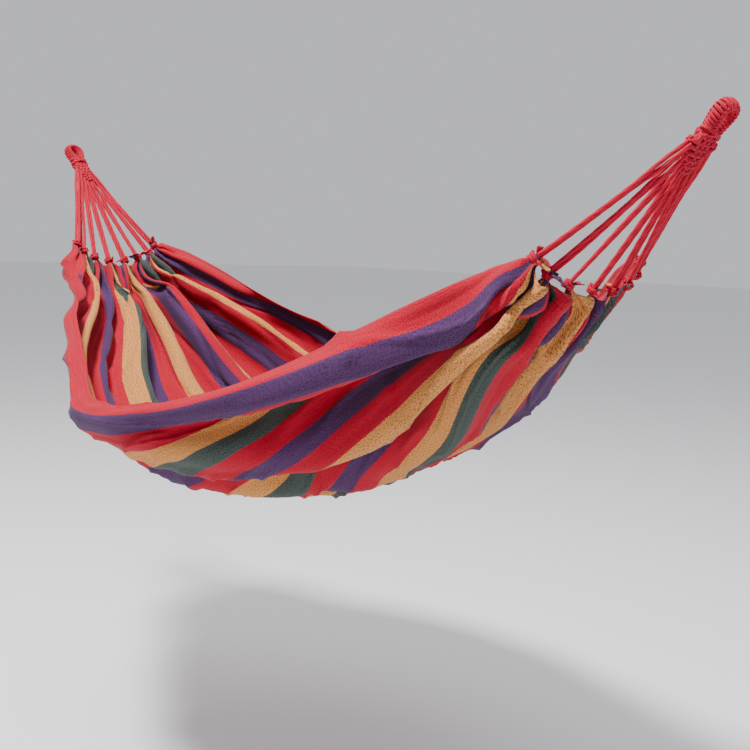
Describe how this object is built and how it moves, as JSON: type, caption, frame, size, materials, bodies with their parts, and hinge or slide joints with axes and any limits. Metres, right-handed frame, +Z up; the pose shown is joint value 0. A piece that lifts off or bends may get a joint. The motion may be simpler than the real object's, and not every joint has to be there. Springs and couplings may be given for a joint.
{
  "type": "gathered canvas hammock",
  "caption": "Striped woven canvas hammock with gathered ends, hung by fans of doubled cords that run to a wrapped rope eye at each end.",
  "frame": {"origin": "seat of the left eye: the middle of the inner face of its crown, where it bears on its hook", "axes": "+X to the seat of the right eye, +Z up, the rim at -Y is the near rim; the hammock hangs under the X axis"},
  "size_m": [2.1836, 1.1156, 0.8698],
  "materials": {
    "striped_canvas": "woven cotton, lengthwise stripes of red, purple, tan and grey-green",
    "red_cord": "twisted cotton cord",
    "served_rope": "cotton cord wound closely round the loop and neck"
  },
  "bodies": {
    "left_eye": {"left_eye_core": "red_cord", "left_eye_serving": "served_rope"},
    "right_eye": {"right_eye_core": "red_cord", "right_eye_serving": "served_rope"},
    "bed": {"fabric_bed": "striped_canvas", "left_neck_whipping": "served_rope", "left_clew_weave": "red_cord", "left_cord_1": "red_cord", "left_cord_2": "red_cord", "left_cord_3": "red_cord", "left_cord_4": "red_cord", "left_cord_5": "red_cord", "left_cord_6": "red_cord", "left_cord_7": "red_cord", "left_cord_8": "red_cord", "left_knot_1": "red_cord", "left_knot_2": "red_cord", "left_knot_3": "red_cord", "left_knot_4": "red_cord", "left_knot_5": "red_cord", "left_knot_6": "red_cord", "left_knot_7": "red_cord", "left_knot_8": "red_cord", "right_neck_whipping": "served_rope", "right_clew_weave": "red_cord", "right_cord_1": "red_cord", "right_cord_2": "red_cord", "right_cord_3": "red_cord", "right_cord_4": "red_cord", "right_cord_5": "red_cord", "right_cord_6": "red_cord", "right_cord_7": "red_cord", "right_cord_8": "red_cord", "right_knot_1": "red_cord", "right_knot_2": "red_cord", "right_knot_3": "red_cord", "right_knot_4": "red_cord", "right_knot_5": "red_cord", "right_knot_6": "red_cord", "right_knot_7": "red_cord", "right_knot_8": "red_cord"}
  },
  "joints": [
    {"name": "swing", "type": "hinge", "parent": "left_eye", "child": "bed", "pos_m": [0, 0, 0], "axis": [1, 0, 0], "range_deg": [-30, 30]},
    {"name": "right_eye_turn", "type": "hinge", "parent": "bed", "child": "right_eye", "pos_m": [2.15, 0, 0], "axis": [1, 0, 0], "range_deg": [-30, 30]}
  ],
  "couplings": [
    {"joint": "right_eye_turn", "follows": "swing", "ratio": -1}
  ]
}
